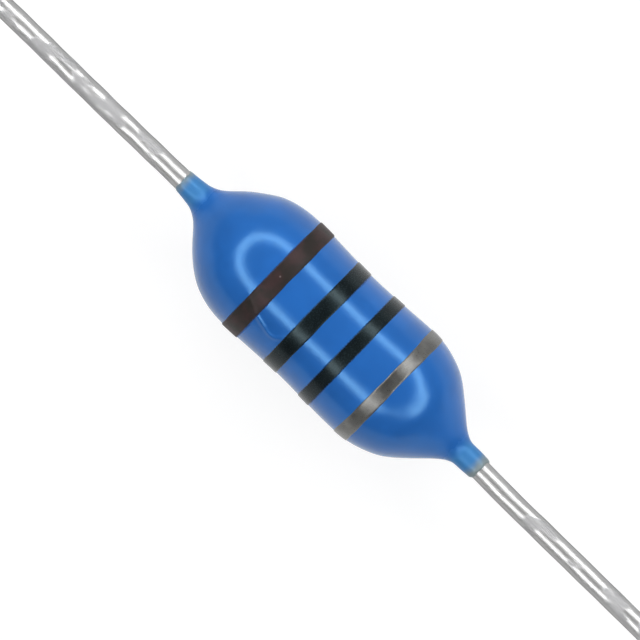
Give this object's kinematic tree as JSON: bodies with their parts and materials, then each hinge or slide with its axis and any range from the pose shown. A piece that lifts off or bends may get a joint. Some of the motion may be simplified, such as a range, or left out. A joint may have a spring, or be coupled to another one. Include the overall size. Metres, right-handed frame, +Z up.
{
  "type": "axial inductor",
  "caption": "Axial inductor: waisted, round-shouldered body in glossy lacquer with colour code bands, on straight tinned wire leads that run out along its axis.",
  "frame": {"origin": "middle of the body, on the line of the leads", "axes": "+X along the leads from the brown band's end to the silver band's end, +Z up from the surface that the body lies on, +Y across the body"},
  "size_m": [0.0652, 0.0038, 0.0038],
  "materials": {
    "blue_lacquer": "gloss",
    "brown_ink": "gloss",
    "black_ink": "gloss",
    "silver_ink": "satin",
    "tinned_wire": "satin",
    "solder": "satin",
    "ferrite": "matte",
    "enamelled_copper": "gloss",
    "cement": "matte"
  },
  "bodies": {
    "root": {"coating": "blue_lacquer", "brown_band": "brown_ink", "first_black_band": "black_ink", "second_black_band": "black_ink", "silver_band": "silver_ink", "ferrite_core": "ferrite", "winding": "enamelled_copper", "brown_end_lead": "tinned_wire", "silver_end_lead": "tinned_wire", "brown_end_solder": "solder", "silver_end_solder": "solder", "brown_end_cement": "cement", "silver_end_cement": "cement"}
  },
  "joints": []
}
